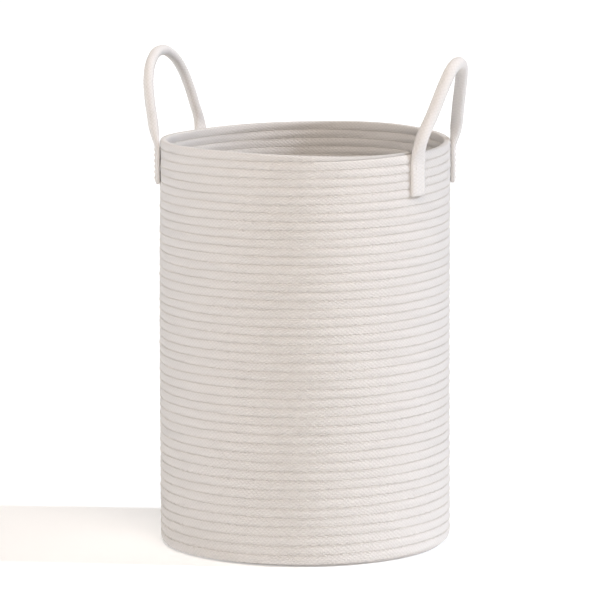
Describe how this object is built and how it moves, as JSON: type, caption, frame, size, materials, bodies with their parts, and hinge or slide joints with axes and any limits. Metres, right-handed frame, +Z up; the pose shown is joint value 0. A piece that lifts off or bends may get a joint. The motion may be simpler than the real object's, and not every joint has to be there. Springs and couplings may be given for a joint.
{
  "type": "laundry basket",
  "caption": "Tall round laundry basket of coiled cotton rope, sewn turn to turn, open at the top, with a rope loop handle on each side that folds in or out.",
  "frame": {"origin": "middle of the underside, on the floor", "axes": "+Z up; the handles stand on -X and +X, so a person lifting it with both hands faces along Y"},
  "size_m": [0.4051, 0.36, 0.6137],
  "materials": {
    "coil_rope": "matt off-white cotton rope",
    "handle_rope": "matt off-white braided cotton rope",
    "sewing_thread": "off-white cotton sewing thread"
  },
  "bodies": {
    "basket": {"wall_coil": "coil_rope", "base_coil": "coil_rope", "outer_seam_thread": "sewing_thread", "inner_seam_thread": "sewing_thread", "base_seam_thread": "sewing_thread", "left_front_sewn_end": "handle_rope", "left_front_stitches": "sewing_thread", "left_back_sewn_end": "handle_rope", "left_back_stitches": "sewing_thread", "right_front_sewn_end": "handle_rope", "right_front_stitches": "sewing_thread", "right_back_sewn_end": "handle_rope", "right_back_stitches": "sewing_thread"},
    "left_handle": {"left_handle_loop": "handle_rope"},
    "right_handle": {"right_handle_loop": "handle_rope"}
  },
  "joints": [
    {"name": "left_handle_fold", "type": "hinge", "parent": "basket", "child": "left_handle", "pos_m": [-0.17024, 0, 0.514], "axis": [0, -1, 0], "range_deg": [-103.3, 126.7]},
    {"name": "right_handle_fold", "type": "hinge", "parent": "basket", "child": "right_handle", "pos_m": [0.17388, 0, 0.514], "axis": [0, 1, 0], "range_deg": [-105.6, 124.4]}
  ]
}
